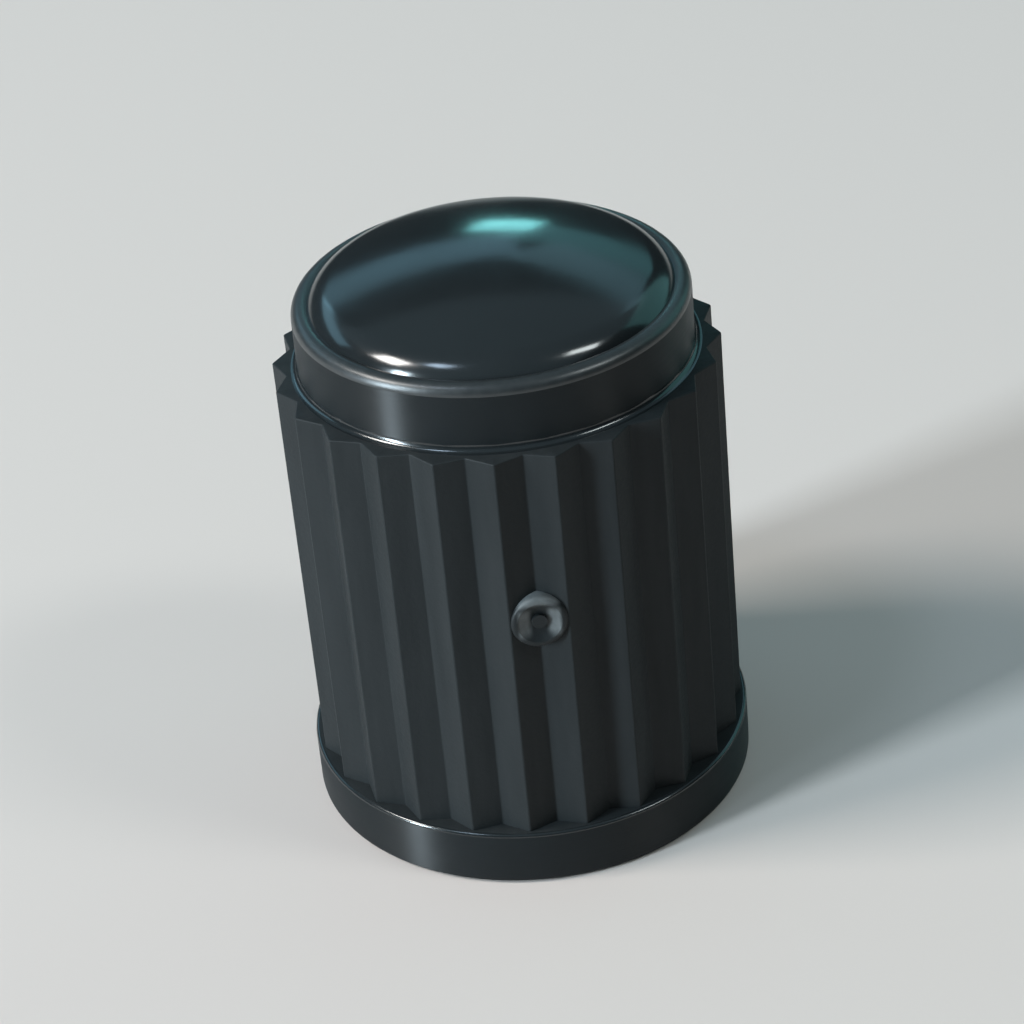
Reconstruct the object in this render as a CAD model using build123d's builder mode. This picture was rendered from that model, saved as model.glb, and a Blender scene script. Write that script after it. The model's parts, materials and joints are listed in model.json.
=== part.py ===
from build123d import *
import os
from math import atan, cos, degrees, isclose, radians, sin

# Tyre valve cap, moulded in one piece of black plastic. It stands on its open end, with its axis on +Z
# and its origin in the middle of the mouth. A plain flange band rings the mouth, V-shaped finger ribs run
# up the body, and above them a smooth collar ends in a rounded lip round a shallow dome. Inside, a plain
# counterbore leads to a blind bore for the 8V1 tyre valve thread (0.305 in, 32 turns to the inch). The bore
# is plain, at the diameter of the thread's crests. Sizes are in millimetres and degrees.

# Hollow that takes the valve stem
stem_thread_diameter = 7.75
thread_engagement = 0.425
thread_lead_in = 0.3
counterbore_clearance = 0.17
counterbore_depth = 2.6
mouth_rounding = 0.25
bore_end_rounding = 0.3
roof_thickness = 1.8

# Flange band at the mouth
flange_height = 1.4
flange_step = 0.12
flange_top_rounding = 0.08
flange_foot_rounding = 0.18

# Ribbed body
root_wall = 0.73
rib_count = 24
rib_depth = 0.32
rib_length = 9.85
rib_crest_rounding = 0.06
rib_root_rounding = 0.06

# Gate scar, where the plastic ran into the mould: a dished round pad in the valley past one rib
gate_rib = 18
gate_height = 7.1
gate_diameter = 1.3
gate_stand = 0.05
gate_dish_diameter = 1.0
gate_dish_depth = 0.16
gate_stub_diameter = 0.34
gate_stub_height = 0.1

# Collar, lip and dome
collar_step = 0.275
collar_length = 1.58
collar_foot_rounding = 0.16
lip_rounding = 0.25
lip_turn = 120
dome_rise = 0.9
dome_edge_slope = 60
dome_edge_rounding = 0.9

# Radii, from the hollow outwards
stem_radius = stem_thread_diameter / 2
bore_radius = stem_radius - thread_engagement
counterbore_radius = stem_radius + counterbore_clearance
root_radius = counterbore_radius + root_wall
tip_radius = root_radius + rib_depth
flange_radius = tip_radius + flange_step
collar_radius = root_radius - collar_step
crease_radius = collar_radius - lip_rounding * (1 - cos(radians(lip_turn)))

# Heights above the mouth
rib_top = flange_height + rib_length
lip_crest = rib_top + collar_length
crease_height = lip_crest - lip_rounding * (1 - sin(radians(lip_turn)))
overall_height = crease_height + dome_rise
bore_depth = overall_height - roof_thickness

# The dome's edge arc turns up from the crease and runs into the crown, a larger arc that is level at the
# axis. The slope where they meet follows from the dome's rise.
edge_slope = radians(dome_edge_slope)
crown_reach = crease_radius - dome_edge_rounding * sin(edge_slope)
crown_rise = dome_rise - dome_edge_rounding * (1 - cos(edge_slope))
crown_slope = 2 * degrees(atan(crown_rise / crown_reach))

rib_pitch = 360 / rib_count

# The gate's pad faces outwards from a valley and stands a little above the line from crest to crest. Its
# dish is part of a sphere.
gate_angle = (gate_rib + 0.5) * rib_pitch
gate_face = tip_radius * cos(radians(rib_pitch / 2)) + gate_stand
gate_dish_radius = (gate_dish_diameter**2 / 4 + gate_dish_depth**2) / (2 * gate_dish_depth)

# How closely an edge has to match the radius and height that it is picked by
edge_match = 1e-6


def at_angle(radius, angle):
    """A point at a radius and an angle in degrees about the axis."""
    return radius * cos(radians(angle)), radius * sin(radians(angle))


with BuildPart() as valve_cap:
    # Flange, core, collar, lip and dome, turned about the axis
    with BuildSketch(Plane.XZ) as body_section:
        with BuildLine():
            side = Polyline(
                (0, 0),
                (flange_radius, 0),
                (flange_radius, flange_height),
                (collar_radius, flange_height),
                (collar_radius, lip_crest - lip_rounding),
            )
            lip = JernArc(side @ 1, (0, 1), lip_rounding, lip_turn)
            edge_start = (-cos(edge_slope), sin(edge_slope))
            dome_edge = JernArc(lip @ 1, edge_start, dome_edge_rounding, dome_edge_slope - crown_slope)
            crown = TangentArc(dome_edge @ 1, (0, overall_height), tangent=dome_edge % 1)
            Line(crown @ 1, side @ 0)
        make_face()
    revolve(axis=Axis.Z)

    # Finger ribs, one V after another round the body, with flat ends
    with BuildSketch(Plane.XY.offset(flange_height)) as rib_section:
        with PolarLocations(0, rib_count):
            Polygon(
                (0, 0),
                at_angle(root_radius, -rib_pitch / 2),
                at_angle(tip_radius, 0),
                at_angle(root_radius, rib_pitch / 2),
                align=None,
            )
        fillet(rib_section.vertices().group_by(SortBy.DISTANCE)[-1], rib_crest_rounding)
        fillet(rib_section.vertices().group_by(SortBy.DISTANCE)[0], rib_root_rounding)
    extrude(amount=rib_length)

    # Gate scar: a round pad on the ribs, a dish in its face and the stub of the runner in the dish
    gate_outwards = (*at_angle(1, gate_angle), 0)
    gate_plane = Plane(origin=(*at_angle(gate_face, gate_angle), gate_height), z_dir=gate_outwards)
    with BuildSketch(gate_plane):
        Circle(gate_diameter / 2)
    extrude(amount=collar_radius - gate_face)
    with Locations(gate_plane.offset(gate_dish_radius - gate_dish_depth)):
        Sphere(gate_dish_radius, mode=Mode.SUBTRACT)
    with BuildSketch(gate_plane.offset(gate_stub_height - gate_dish_depth)):
        Circle(gate_stub_diameter / 2)
    extrude(amount=collar_radius - gate_face)

    # Counterbore and blind bore, up from the mouth
    with Locations(Location((0, 0, 0), (180, 0, 0))):
        CounterBoreHole(bore_radius, counterbore_radius, counterbore_depth, bore_depth)

    def ring(radius, height):
        """The cap's circular edge of a radius at a height."""
        circles = valve_cap.edges().filter_by(GeomType.CIRCLE)
        level = circles.filter_by(lambda edge: isclose(edge.arc_center.Z, height, abs_tol=edge_match))
        return level.filter_by(lambda edge: isclose(edge.radius, radius, abs_tol=edge_match))

    # Edges of the flange, the collar's foot, the mouth and the bore
    fillet(ring(flange_radius, flange_height), flange_top_rounding)
    fillet(ring(flange_radius, 0), flange_foot_rounding)
    fillet(ring(collar_radius, rib_top), collar_foot_rounding)
    fillet(ring(counterbore_radius, 0), mouth_rounding)
    chamfer(ring(bore_radius, counterbore_depth), thread_lead_in)
    fillet(ring(bore_radius, bore_depth), bore_end_rounding)

valve_cap.part.label = "valve_cap"

os.makedirs("parts", exist_ok=True)
export_step(valve_cap.part, "parts/valve_cap.step")
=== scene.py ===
import bmesh
import bpy
import json
from math import atan, atan2, ceil, cos, degrees, pi, radians, sin, tan
from mathutils import Matrix, Vector


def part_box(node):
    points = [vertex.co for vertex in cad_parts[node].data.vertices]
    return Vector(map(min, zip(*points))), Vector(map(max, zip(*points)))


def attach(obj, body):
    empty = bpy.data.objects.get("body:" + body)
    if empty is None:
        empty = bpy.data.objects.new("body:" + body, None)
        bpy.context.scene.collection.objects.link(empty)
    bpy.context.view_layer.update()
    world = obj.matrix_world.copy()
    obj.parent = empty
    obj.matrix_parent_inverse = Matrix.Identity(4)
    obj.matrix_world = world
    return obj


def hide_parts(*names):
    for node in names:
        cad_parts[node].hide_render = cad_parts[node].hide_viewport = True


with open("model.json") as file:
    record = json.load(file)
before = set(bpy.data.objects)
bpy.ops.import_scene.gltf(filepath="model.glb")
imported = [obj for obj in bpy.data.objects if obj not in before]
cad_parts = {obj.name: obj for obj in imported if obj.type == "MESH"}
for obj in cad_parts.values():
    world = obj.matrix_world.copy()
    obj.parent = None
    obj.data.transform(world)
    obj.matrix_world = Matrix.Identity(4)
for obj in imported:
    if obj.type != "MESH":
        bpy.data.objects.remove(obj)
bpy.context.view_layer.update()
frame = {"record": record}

# Threaded hollow. A screw-shaped core in the mould leaves a blind bore in the black plastic, with a
# right-hand thread of 32 turns to the inch for the valve stem. The thread stops short of the blind end, and a
# plain counterbore leads into it.
mm = 0.001
overall_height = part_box("valve_cap")[1].z
mounts = {mount["name"]: mount for mount in frame["record"]["mounts"]}
bore_radius = mounts["valve_thread"]["dims"]["r_mm"] * mm
roof_thickness = 1.8 * mm
bore_depth = overall_height - roof_thickness
bore_end_rounding = 0.3 * mm
counterbore_radius = mounts["stem_counterbore"]["dims"]["r_mm"] * mm
counterbore_depth = 2.6 * mm
mouth_rounding = 0.25 * mm
lead_in_radius = 3.93 * mm
thread_pitch = 25.4 / 32 * mm
thread_depth = 0.42 * mm
thread_crest = thread_pitch / 4
thread_root = thread_pitch / 8
thread_flank = (thread_pitch - thread_crest - thread_root) / 2
thread_edge_rounding = 0.035 * mm
thread_edge_angle = radians(25)
thread_edge_steps = 2
thread_steps = 72
thread_start = 2.78 * mm
thread_end = 9.55 * mm
thread_run_out = 0.3 * mm
weld = 0.001 * mm
rib_count = 24
steps_per_rib = 10
round_steps = steps_per_rib * rib_count
corner_steps = 5


def line_to(mesh, start, radius, height):
    """Draws a straight stretch of a section from a vertex and gives its far vertex."""
    end = bmesh.ops.extrude_vert_indiv(mesh, verts=[start])["verts"][0]
    end.co = (radius, 0, height)
    return end


def arc(mesh, start, centre_radius, centre_height, turn, steps):
    """Draws an arc of a section from a vertex, anticlockwise if the turn in degrees is positive."""
    centre = (centre_radius, 0, centre_height)
    drawn = bmesh.ops.spin(mesh, geom=[start], cent=centre, axis=(0, -1, 0), angle=radians(turn), steps=steps)
    return drawn["geom_last"][0]


def turn_section(mesh, steps):
    """Spins the section drawn so far once round the Z axis."""
    drawn = [part for part in [*mesh.verts, *mesh.edges] if part.is_wire]
    once_round = {"cent": (0, 0, 0), "axis": (0, 0, 1), "angle": 2 * pi}
    bmesh.ops.spin(mesh, geom=drawn, steps=steps, use_merge=True, **once_round)
    bmesh.ops.remove_doubles(mesh, verts=mesh.verts, dist=weld)


def open_ring(mesh, height, inner, outer):
    """The open edges of a mesh at a height, between two distances from the axis."""
    found = []
    for edge in mesh.edges:
        if edge.is_boundary and all(abs(vert.co.z - height) < weld for vert in edge.verts):
            reach = edge.verts[0].co.xy.length
            if inner - weld < reach < outer + weld:
                found.append(edge)
    return found


def grow(mesh, ring, radius, height):
    """Extrudes a closed ring of edges to a radius and a height, and gives the new ring."""
    grown = bmesh.ops.extrude_edge_only(mesh, edges=ring)["geom"]
    for part in grown:
        if isinstance(part, bmesh.types.BMVert):
            part.co.xy *= radius / part.co.xy.length
            part.co.z = height
    return [part for part in grown if isinstance(part, bmesh.types.BMEdge) and part.is_boundary]


def round_off(mesh, parts, affect, offset, segments):
    """Rounds off edges or vertices of a mesh."""
    bmesh.ops.bevel(
        mesh,
        geom=parts,
        affect=affect,
        offset=offset,
        offset_type="OFFSET",
        segments=segments,
        profile=0.5,
        material=-1,
    )


# One pitch of the thread's section goes up in a helix, past both ends of the thread, and is then cut level.
hollow = bmesh.new()
below = thread_start - thread_pitch
crest = hollow.verts.new((bore_radius, 0, below))
crest_end = line_to(hollow, crest, bore_radius, below + thread_crest)
root = line_to(hollow, crest_end, bore_radius + thread_depth, crest_end.co.z + thread_flank)
root_end = line_to(hollow, root, bore_radius + thread_depth, root.co.z + thread_root)
line_to(hollow, root_end, bore_radius, below + thread_pitch)
thread_turns = (thread_end - thread_start) / thread_pitch + 2
helix_steps = ceil(thread_turns * thread_steps)
bmesh.ops.spin(
    hollow,
    geom=[*hollow.verts, *hollow.edges],
    cent=(0, 0, 0),
    axis=(0, 0, 1),
    dvec=(0, 0, thread_pitch / thread_steps),
    angle=2 * pi * helix_steps / thread_steps,
    steps=helix_steps,
)
bmesh.ops.remove_doubles(hollow, verts=hollow.verts, dist=weld)
hollow.normal_update()
inner_edges = [edge for edge in hollow.edges if edge.is_manifold]
thread_edges = [edge for edge in inner_edges if edge.calc_face_angle() > thread_edge_angle]
round_off(hollow, thread_edges, "EDGES", thread_edge_rounding, thread_edge_steps)
for height, ends in ((thread_start, {"clear_inner": True}), (thread_end, {"clear_outer": True})):
    whole = [*hollow.verts, *hollow.edges, *hollow.faces]
    bmesh.ops.bisect_plane(hollow, geom=whole, dist=weld, plane_co=(0, 0, height), plane_no=(0, 0, 1), **ends)

# Above the thread, a plain stretch runs to the rounded blind end.
thread_top = open_ring(hollow, thread_end, 0, bore_radius + thread_depth)
blind_end = grow(hollow, thread_top, bore_radius, thread_end + thread_run_out)
for step in range(corner_steps + 1):
    turn = radians(90) * step / corner_steps
    end_radius = bore_radius - bore_end_rounding * (1 - cos(turn))
    blind_end = grow(hollow, blind_end, end_radius, bore_depth - bore_end_rounding * (1 - sin(turn)))
bmesh.ops.edgeloop_fill(hollow, edges=blind_end)

# Below it, a lead-in opens on to the counterbore's flat ledge.
thread_foot = open_ring(hollow, thread_start, 0, bore_radius + thread_depth)
grow(hollow, thread_foot, lead_in_radius, counterbore_depth)
ledge_edge = hollow.verts.new((counterbore_radius, 0, counterbore_depth))
line_to(hollow, ledge_edge, counterbore_radius, mouth_rounding)
turn_section(hollow, round_steps)
lead_in = open_ring(hollow, counterbore_depth, lead_in_radius - weld, lead_in_radius + weld)
ledge = open_ring(hollow, counterbore_depth, counterbore_radius, counterbore_radius)
bmesh.ops.triangle_fill(hollow, edges=lead_in + ledge, use_beauty=True, normal=(0, 0, -1))


class Shade:
    """A socket in a material's nodes. Arithmetic on it adds Math nodes."""

    def __init__(self, tree, socket=None):
        self.tree = tree
        self.socket = socket

    def node(self, kind, settings=None, sockets=None, output=0):
        """Adds a node with its settings, then its sockets' values or links, and gives one of its outputs."""
        made = self.tree.nodes.new("ShaderNode" + kind)
        for name, value in (settings or {}).items():
            setattr(made, name, value)
        for name, value in (sockets or {}).items():
            if isinstance(value, Shade):
                self.tree.links.new(value.socket, made.inputs[name])
            else:
                made.inputs[name].default_value = value
        return Shade(self.tree, made.outputs[output] if made.outputs else None)

    def math(self, operation, first, second):
        """Adds a Math node on two shades or numbers."""
        return self.node("Math", {"operation": operation}, {0: first, 1: second})

    def __add__(self, other):
        return self.math("ADD", self, other)

    __radd__ = __add__

    def __mul__(self, other):
        return self.math("MULTIPLY", self, other)

    __rmul__ = __mul__

    def __abs__(self):
        return self.math("ABSOLUTE", self, 0)


def start_plastic(name):
    """A new material with no nodes, and a shade to add them by."""
    material = bpy.data.materials.new(name)
    material.use_nodes = True
    material.node_tree.nodes.clear()
    return material, Shade(material.node_tree)


def noise(shade, size, detail, stretch=(1, 1, 1)):
    """Noise with grains of a size, stretched by a factor along each axis."""
    place = shade.node("TexCoord", output="Object")
    scale = tuple(1 / along for along in stretch)
    stretched = shade.node("Mapping", {}, {"Vector": place, "Scale": scale})
    grains = {"Vector": stretched, "Scale": 1 / size, "Detail": detail, "Roughness": 0.6}
    return shade.node("TexNoise", {}, grains)


def finish_plastic(shade, dark, light, tone, roughness, relief, relief_height, **constants):
    """The surface of the plastic, between two tones, with its gloss and its relief."""
    tones = {"Factor": tone, "A": (*dark, 1), "B": (*light, 1)}
    colour = shade.node("Mix", {"data_type": "RGBA"}, tones, output="Result")
    bump = shade.node("Bump", {}, {"Height": relief, "Strength": 1.0, "Distance": relief_height})
    sockets = {"Base Color": colour, "Roughness": roughness, "Normal": bump}
    surface = shade.node("BsdfPrincipled", {}, sockets | constants)
    shade.node("OutputMaterial", {}, {"Surface": surface})


black = (0.013, 0.0155, 0.0165)
worn_black = (0.026, 0.029, 0.030)
cored_plastic, shade = start_plastic("cored_plastic")
rings = noise(shade, size=0.04 * mm, detail=2, stretch=(30, 30, 1))
haze = noise(shade, size=1.5 * mm, detail=2)
cored_gloss = 0.27 + 0.1 * rings + 0.1 * haze
finish_plastic(shade, black, worn_black, haze, cored_gloss, rings, relief_height=0.0015 * mm)

# Flange band round the mouth. It is the lowest and widest part of the moulding, a plain band of the same
# black plastic that the cap stands on. Its mould was turned on a lathe, which leaves fine rings round it.
flange_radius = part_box("valve_cap")[1].x
flange_height = 1.4 * mm
flange_top_rounding = 0.08 * mm
flange_foot_rounding = 0.18 * mm
flange = bmesh.new()
mouth = flange.verts.new((counterbore_radius, 0, mouth_rounding))
mouth = arc(flange, mouth, counterbore_radius + mouth_rounding, mouth_rounding, 90, corner_steps)
rim = line_to(flange, mouth, flange_radius - flange_foot_rounding, 0)
foot = arc(flange, rim, flange_radius - flange_foot_rounding, flange_foot_rounding, 90, corner_steps)
side = line_to(flange, foot, flange_radius, flange_height - flange_top_rounding)
shoulder_radius = flange_radius - flange_top_rounding
arc(flange, side, shoulder_radius, flange_height - flange_top_rounding, 90, corner_steps)
turn_section(flange, round_steps)

turned_black = (0.010, 0.012, 0.013)
turned_plastic, shade = start_plastic("turned_plastic")
rings = noise(shade, size=0.03 * mm, detail=2, stretch=(60, 60, 1))
coarse_rings = noise(shade, size=0.12 * mm, detail=1, stretch=(60, 60, 1))
haze = noise(shade, size=0.8 * mm, detail=2)
turned_relief = rings + 0.8 * coarse_rings
turned_gloss = 0.3 + 0.08 * rings + 0.12 * haze
across_rings = {"Anisotropic": 1.0, "Anisotropic Rotation": 0.25, "IOR": 1.3}
finish_plastic(
    shade, turned_black, black, haze, turned_gloss, turned_relief, relief_height=0.0022 * mm, **across_rings
)

# Finger ribs. Twenty-four V-shaped ribs of the same plastic run up the body from the flange to the collar's
# foot and end square. Their mould was spark-eroded, so the flanks have a fine grain, and the crests are a
# little rounded.
root_wall = 0.73 * mm
rib_depth = 0.32 * mm
rib_length = 9.85 * mm
rib_crest_rounding = 0.06 * mm
rib_root_rounding = 0.06 * mm
rib_rounding_steps = 4
rib_end_rounding = 0.03 * mm
rib_end_steps = 3
root_radius = counterbore_radius + root_wall
tip_radius = root_radius + rib_depth
rib_top = flange_height + rib_length
rib_angle = 2 * pi / rib_count
crest_run = root_radius * sin(rib_angle / 2)
crest_drop = tip_radius - root_radius * cos(rib_angle / 2)
crest_turn = pi - 2 * atan2(crest_run, crest_drop)
root_turn = crest_turn - rib_angle
ribs = bmesh.new()
shoulder_level = Matrix.Translation((0, 0, flange_height))
bmesh.ops.create_circle(ribs, segments=rib_count, radius=tip_radius, matrix=shoulder_level)
bmesh.ops.subdivide_edges(ribs, edges=ribs.edges, cuts=1)
roots = [vert for vert in ribs.verts if vert.co.xy.length < tip_radius - weld]
tips = [vert for vert in ribs.verts if vert not in roots]
for root in roots:
    root.co.xy *= root_radius / root.co.xy.length
round_off(ribs, tips, "VERTICES", rib_crest_rounding * tan(crest_turn / 2), rib_rounding_steps)
round_off(ribs, roots, "VERTICES", rib_root_rounding * tan(root_turn / 2), rib_rounding_steps)
raised = bmesh.ops.extrude_edge_only(ribs, edges=ribs.edges)["geom"]
raised_verts = [part for part in raised if isinstance(part, bmesh.types.BMVert)]
bmesh.ops.translate(ribs, verts=raised_verts, vec=(0, 0, rib_length))

# The ribs' ends are rounded off under a lid, which is then taken away for the collar.
rib_ends = open_ring(ribs, rib_top, 0, tip_radius)
bmesh.ops.edgeloop_fill(ribs, edges=rib_ends)
bmesh.ops.recalc_face_normals(ribs, faces=ribs.faces)
round_off(ribs, rib_ends, "EDGES", rib_end_rounding, rib_end_steps)
lids = [face for face in ribs.faces if all(vert.co.z > rib_top - weld for vert in face.verts)]
bmesh.ops.delete(ribs, geom=lids, context="FACES_ONLY")

grained_plastic, shade = start_plastic("grained_plastic")
pits = noise(shade, size=0.1 * mm, detail=3)
flow = noise(shade, size=0.5 * mm, detail=2, stretch=(1, 1, 8))
grained_gloss = 0.38 + 0.16 * pits + 0.12 * flow
finish_plastic(shade, black, worn_black, flow, grained_gloss, pits, relief_height=0.006 * mm, IOR=1.22)

# Collar, lip and dome. Above the ribs the black plastic draws in to a smooth collar, turned like the flange,
# which rolls over in a rounded lip. The lip is rubbed to a satin, and inside its crease the shallow dome came
# from a polished mould.
collar_step = 0.275 * mm
collar_length = 1.58 * mm
collar_foot_rounding = 0.16 * mm
lip_rounding = 0.25 * mm
lip_turn = 120
lip_steps = 12
dome_edge_rounding = 0.9 * mm
dome_edge_slope = 60
dome_edge_steps = 12
crown_steps = 24
collar_radius = root_radius - collar_step
collar_foot_radius = collar_radius + collar_foot_rounding
collar_foot_top = rib_top + collar_foot_rounding
lip_crest = rib_top + collar_length
lip_height = lip_crest - lip_rounding
crease_radius = collar_radius - lip_rounding * (1 - cos(radians(lip_turn)))
crease_height = lip_crest - lip_rounding * (1 - sin(radians(lip_turn)))
edge_slope = radians(dome_edge_slope)
edge_centre_radius = crease_radius - dome_edge_rounding * sin(edge_slope)
edge_centre_height = crease_height - dome_edge_rounding * cos(edge_slope)
crown_rise = overall_height - crease_height - dome_edge_rounding * (1 - cos(edge_slope))
crown_slope = 2 * atan(crown_rise / edge_centre_radius)
crown_radius = edge_centre_radius / sin(crown_slope) + dome_edge_rounding
edge_turn = dome_edge_slope - degrees(crown_slope)
collar = bmesh.new()
collar_foot = collar.verts.new((collar_foot_radius, 0, rib_top))
wall = arc(collar, collar_foot, collar_foot_radius, collar_foot_top, -90, corner_steps)
line_to(collar, wall, collar_radius, lip_height)
turn_section(collar, round_steps)
lip = bmesh.new()
lip_foot = lip.verts.new((collar_radius, 0, lip_height))
arc(lip, lip_foot, collar_radius - lip_rounding, lip_height, lip_turn, lip_steps)
turn_section(lip, round_steps)
dome = bmesh.new()
crease = dome.verts.new((crease_radius, 0, crease_height))
crown = arc(dome, crease, edge_centre_radius, edge_centre_height, edge_turn, dome_edge_steps)
arc(dome, crown, 0, overall_height - crown_radius, degrees(crown_slope), crown_steps)
turn_section(dome, round_steps)

satin_plastic, shade = start_plastic("satin_plastic")
scuffs = noise(shade, size=0.2 * mm, detail=3)
satin_gloss = 0.26 + 0.16 * scuffs
finish_plastic(shade, black, worn_black, scuffs, satin_gloss, scuffs, relief_height=0.003 * mm, IOR=1.6)

polished_plastic, shade = start_plastic("polished_plastic")
orange_peel = noise(shade, size=0.35 * mm, detail=1)
smudges = noise(shade, size=2.2 * mm, detail=4)
polished_gloss = 0.07 + 0.16 * smudges
finish_plastic(
    shade, turned_black, black, smudges, polished_gloss, orange_peel, relief_height=0.0009 * mm, IOR=1.6
)

# Gate scar. The plastic ran into the mould through a pin gate on the ribs. Where the runner was broken off, a
# dished round pad with a torn stub is left in the valley between two ribs. Its pale colour is partly stress
# whitening where it tore, and partly painted highlight and painted stub shadow.
gate_rib = 18
gate_angle = (gate_rib + 0.5) * rib_angle
gate_height = 7.1 * mm
gate_radius = 0.65 * mm
gate_stand = 0.05 * mm
gate_face = tip_radius * cos(rib_angle / 2) + gate_stand
gate_edge_rounding = 0.11 * mm
gate_dish_radius = 0.5 * mm
gate_dish_depth = 0.16 * mm
gate_stub_radius = 0.17 * mm
gate_stub_height = 0.1 * mm
gate_steps = 64
dish_sphere = (gate_dish_radius**2 + gate_dish_depth**2) / (2 * gate_dish_depth)
dish_slope = atan2(gate_dish_radius, dish_sphere - gate_dish_depth)
stub_slope = atan2(gate_stub_radius, dish_sphere)
stub_top = gate_stub_height - gate_dish_depth
buried = collar_radius - gate_face
gate = bmesh.new()
pad = line_to(gate, gate.verts.new((0, 0, buried)), gate_radius, buried)
pad = line_to(gate, pad, gate_radius, -gate_edge_rounding)
pad = arc(gate, pad, gate_radius - gate_edge_rounding, -gate_edge_rounding, 90, corner_steps)
dish = line_to(gate, pad, gate_dish_radius, 0)
dish = arc(gate, dish, 0, dish_sphere - gate_dish_depth, degrees(stub_slope - dish_slope), corner_steps)
stub = line_to(gate, dish, gate_stub_radius, stub_top)
line_to(gate, stub, 0, stub_top)
turn_section(gate, gate_steps)
bmesh.ops.recalc_face_normals(gate, faces=gate.faces)
outwards = Vector((cos(gate_angle), sin(gate_angle), 0))
gate_turn = outwards.to_track_quat("Z", "Y").to_matrix().to_4x4()
gate_centre = outwards * gate_face + Vector((0, 0, gate_height))
bmesh.ops.transform(gate, matrix=Matrix.Translation(gate_centre) @ gate_turn, verts=gate.verts)


def fade(shade, value, start, end):
    """Goes smoothly from 0 at one value to 1 at another."""
    limits = {"Value": value, "From Min": start, "From Max": end}
    return shade.node("MapRange", {"interpolation_type": "SMOOTHSTEP"}, limits)


# The pad is painted pale on both sides of the stub and along its upper edge. The paleness is partly stress
# whitening where it tore and partly painted light. The dish beside the stub and the upper edge get a painted
# highlight, and a painted shadow of the stub is left dark between them.
torn_pale_and_highlight = (0.13, 0.14, 0.142)
torn_plastic_with_painted_light, shade = start_plastic("torn_plastic_with_painted_light")
place = shade.node("TexCoord", output="Object")
gate_frame = {"Vector": place, "Location": gate_centre, "Rotation": gate_turn.to_euler()}
on_gate = shade.node("Mapping", {"vector_type": "TEXTURE"}, gate_frame)
across = shade.node("SeparateXYZ", {}, {"Vector": on_gate}, output="X")
upwards = shade.node("SeparateXYZ", {}, {"Vector": on_gate}, output="Y")
# Painted stub shadow: the dish stays dark close to the stub and turns pale, as if lit, beyond it.
beside_painted_stub_shadow = fade(shade, abs(across), 0.13 * mm, 0.28 * mm)
inside_rim = fade(shade, abs(across), 0.52 * mm, 0.42 * mm)
at_stub_height = fade(shade, abs(upwards), 0.44 * mm, 0.2 * mm)
# Painted highlight along the pad's upper edge, as if lit from above.
painted_top_highlight = fade(shade, upwards, 0.36 * mm, 0.52 * mm)
tears = noise(shade, size=0.16 * mm, detail=3)
# Pale tone from painted highlight and stress whitening, broken up by the tears noise.
tears_and_painted_light = (beside_painted_stub_shadow * inside_rim * at_stub_height + painted_top_highlight) * (0.5 + 0.6 * tears)
torn_gloss = 0.34 + 0.2 * tears
finish_plastic(shade, black, torn_pale_and_highlight, tears_and_painted_light, torn_gloss, tears, relief_height=0.01 * mm, IOR=1.3)

# The moulding as one piece. All of it is one shot of black plastic, so its parts are welded into one closed
# shell. The flange's shoulder and the collar's foot are as smooth as the dome, and only the creases and inner
# corners are left sharp.
crease_angle = radians(32)
finishes = (grained_plastic, turned_plastic, satin_plastic, polished_plastic, cored_plastic, torn_plastic_with_painted_light)


def set_finish(faces, finish):
    """Gives faces one of the cap's finishes."""
    for face in faces:
        face.material_index = finishes.index(finish)


def new_object(name, mesh):
    """Makes an object in the scene from a finished mesh."""
    data = bpy.data.meshes.new(name)
    mesh.to_mesh(data)
    made = bpy.data.objects.new(name, data)
    bpy.context.scene.collection.objects.link(made)
    return made


shoulder_foot = flange_height - flange_top_rounding
shoulder = [face for face in flange.faces if face.calc_center_median().z > shoulder_foot]
collar_curve = [face for face in collar.faces if face.calc_center_median().z < collar_foot_top]
set_finish(ribs.faces, grained_plastic)
set_finish(flange.faces, turned_plastic)
set_finish(collar.faces, turned_plastic)
set_finish(shoulder + collar_curve, polished_plastic)
set_finish(lip.faces, satin_plastic)
set_finish(dome.faces, polished_plastic)
set_finish(hollow.faces, cored_plastic)
set_finish(gate.faces, torn_plastic_with_painted_light)
cap = bmesh.new()
for region in (ribs, flange, collar, lip, dome, hollow):
    region_mesh = bpy.data.meshes.new("region")
    region.to_mesh(region_mesh)
    cap.from_mesh(region_mesh)
    bpy.data.meshes.remove(region_mesh)
bmesh.ops.remove_doubles(cap, verts=cap.verts, dist=weld)
rib_foot = open_ring(cap, flange_height, collar_radius, tip_radius)
flange_ring = open_ring(cap, flange_height, tip_radius + 2 * weld, flange_radius)
bmesh.ops.triangle_fill(cap, edges=rib_foot + flange_ring, use_beauty=True, normal=(0, 0, 1))
collar_ring = open_ring(cap, rib_top, collar_radius, collar_foot_radius)
rib_head = open_ring(cap, rib_top, collar_foot_radius + 2 * weld, tip_radius)
bmesh.ops.triangle_fill(cap, edges=rib_head + collar_ring, use_beauty=True, normal=(0, 0, 1))
bmesh.ops.recalc_face_normals(cap, faces=cap.faces)
moulded_cap = new_object("moulded_cap", cap)
gate_scar = new_object("gate_scar", gate)
for finish in finishes:
    moulded_cap.data.materials.append(finish)
    gate_scar.data.materials.append(finish)
union = moulded_cap.modifiers.new("gate", "BOOLEAN")
union.operation = "UNION"
union.solver = "EXACT"
union.object = gate_scar
joined = moulded_cap.evaluated_get(bpy.context.evaluated_depsgraph_get())
moulded_cap.data = bpy.data.meshes.new_from_object(joined)
moulded_cap.modifiers.clear()
bpy.data.objects.remove(gate_scar)
moulded_cap.data.shade_smooth()
moulded_cap.data.set_sharp_from_angle(angle=crease_angle)
flat_flanks = moulded_cap.modifiers.new("flat_flanks", "WEIGHTED_NORMAL")
flat_flanks.keep_sharp = True
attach(moulded_cap, "root")
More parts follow.
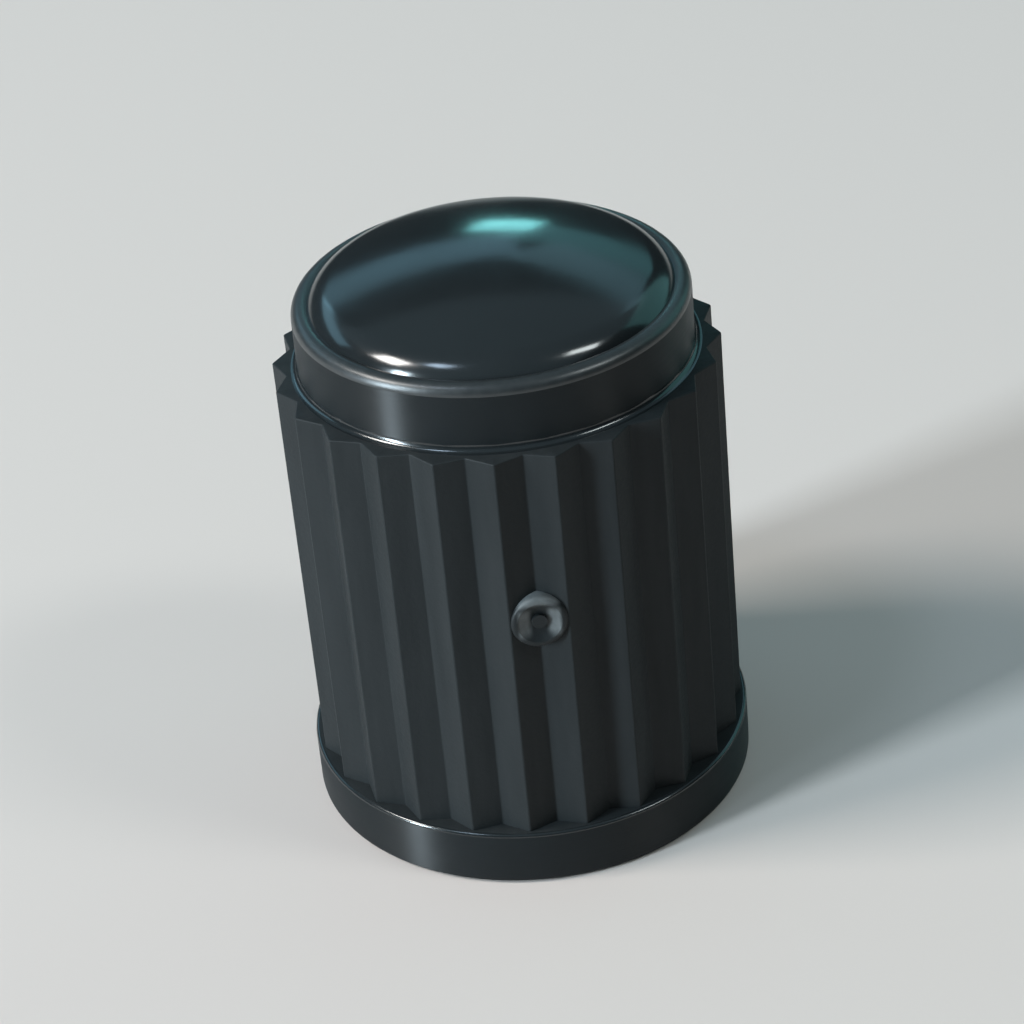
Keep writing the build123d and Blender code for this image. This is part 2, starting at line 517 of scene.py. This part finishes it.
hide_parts("valve_cap")

# Floor and soft lights. A pale sheet of paper lies under the cap, and soft boxes stand round it where the
# photograph shows their reflections. Their directions are taken from the camera's, with its right side
# positive.
view_azimuth = 273.3
view_elevation = 32.1
view_target = Vector((0, 0, overall_height / 2))
floor_size = 3.0
floor_colour = (0.63, 0.555, 0.515)
floor_roughness = 0.7
floor_sheen = 0.2
room_colour = (0.02, 0.028, 0.032)


def direction(azimuth, elevation):
    """A unit vector at an azimuth from the camera's side and an elevation, in degrees."""
    turn = radians(view_azimuth + azimuth)
    level = cos(radians(elevation))
    return Vector((level * cos(turn), level * sin(turn), sin(radians(elevation))))


def soft_box(name, azimuth, elevation, distance, width, height, radiance, tint, roll=0):
    """A flat soft light that faces the cap, in degrees and metres. A radiance of 1 would show as white."""
    lamp = bpy.data.lights.new(name, "AREA")
    lamp.shape = "RECTANGLE"
    lamp.size = width
    lamp.size_y = height
    lamp.energy = radiance * width * height * pi
    lamp.color = tint
    stand = bpy.data.objects.new(name, lamp)
    stand.location = view_target + direction(azimuth, elevation) * distance
    facing = direction(azimuth, elevation).to_track_quat("Z", "Y").to_matrix()
    stand.rotation_euler = (facing @ Matrix.Rotation(radians(roll), 3, "Z")).to_euler()
    bpy.context.scene.collection.objects.link(stand)


floor_shape = bmesh.new()
bmesh.ops.create_grid(floor_shape, x_segments=1, y_segments=1, size=floor_size / 2)
floor = new_object("floor", floor_shape)
paper = bpy.data.materials.new("paper")
paper.use_nodes = True
sheet = paper.node_tree.nodes["Principled BSDF"]
sheet.inputs["Base Color"].default_value = (*floor_colour, 1)
sheet.inputs["Roughness"].default_value = floor_roughness
sheet.inputs["Specular IOR Level"].default_value = floor_sheen
floor.data.materials.append(paper)

soft_box("key", -84, 47, 0.52, 0.14, 0.12, 30.0, (1.0, 0.97, 0.93))
soft_box("side_strip", -62, 16, 0.44, 0.06, 0.25, 60.0, (0.74, 0.9, 1.0))
soft_box("front_lamp", -56, 62, 0.48, 0.08, 0.07, 14.0, (0.62, 0.8, 1.0))
soft_box("right_lamp", 67, 48, 0.52, 0.14, 0.08, 14.0, (0.92, 1.0, 1.0), roll=-45)
soft_box("rim_strip", 122, 22, 0.56, 0.4, 0.36, 0.7, (0.36, 0.95, 0.97))
soft_box("back_window", 178, 16, 0.64, 0.066, 0.055, 6.0, (0.3, 0.97, 1.0), roll=-18)
soft_box("window_side", 166, 24, 0.64, 0.26, 0.08, 0.6, (0.3, 0.9, 1.0), roll=-26)
soft_box("back_band", -167, 26, 0.68, 0.36, 0.12, 0.9, (0.38, 0.78, 1.0))
soft_box("right_band", 157, 37, 0.68, 0.44, 0.1, 0.75, (0.4, 0.82, 1.0), roll=-26)
soft_box("left_band", -132, 27, 0.68, 0.5, 0.14, 1.6, (0.4, 0.78, 1.0))
soft_box("ceiling", 0, 86, 0.6, 1.44, 1.44, 0.22, (0.6, 0.86, 1.0))
world = bpy.data.worlds.new("studio")
world.use_nodes = True
world.node_tree.nodes["Background"].inputs["Color"].default_value = (*room_colour, 1)
bpy.context.scene.world = world

# Camera at the photograph's viewing angle, in front of the cap and above it. It is turned about its own axis,
# so that the cap leans as it does there.
view_distance = 74.9 * mm
view_roll = -5.6
view_lens = 113
nearest_shown = 0.005
farthest_shown = 10
camera_data = bpy.data.cameras.new("camera")
camera_data.lens = view_lens
camera_data.clip_start = nearest_shown
camera_data.clip_end = farthest_shown
camera = bpy.data.objects.new("camera", camera_data)
camera.location = view_target + direction(0, view_elevation) * view_distance
look = direction(0, view_elevation).to_track_quat("Z", "Y").to_matrix().to_4x4()
camera.rotation_euler = (look @ Matrix.Rotation(radians(view_roll), 4, "Z")).to_euler()
bpy.context.scene.collection.objects.link(camera)
bpy.context.scene.camera = camera
bpy.context.scene.view_settings.view_transform = "Standard"
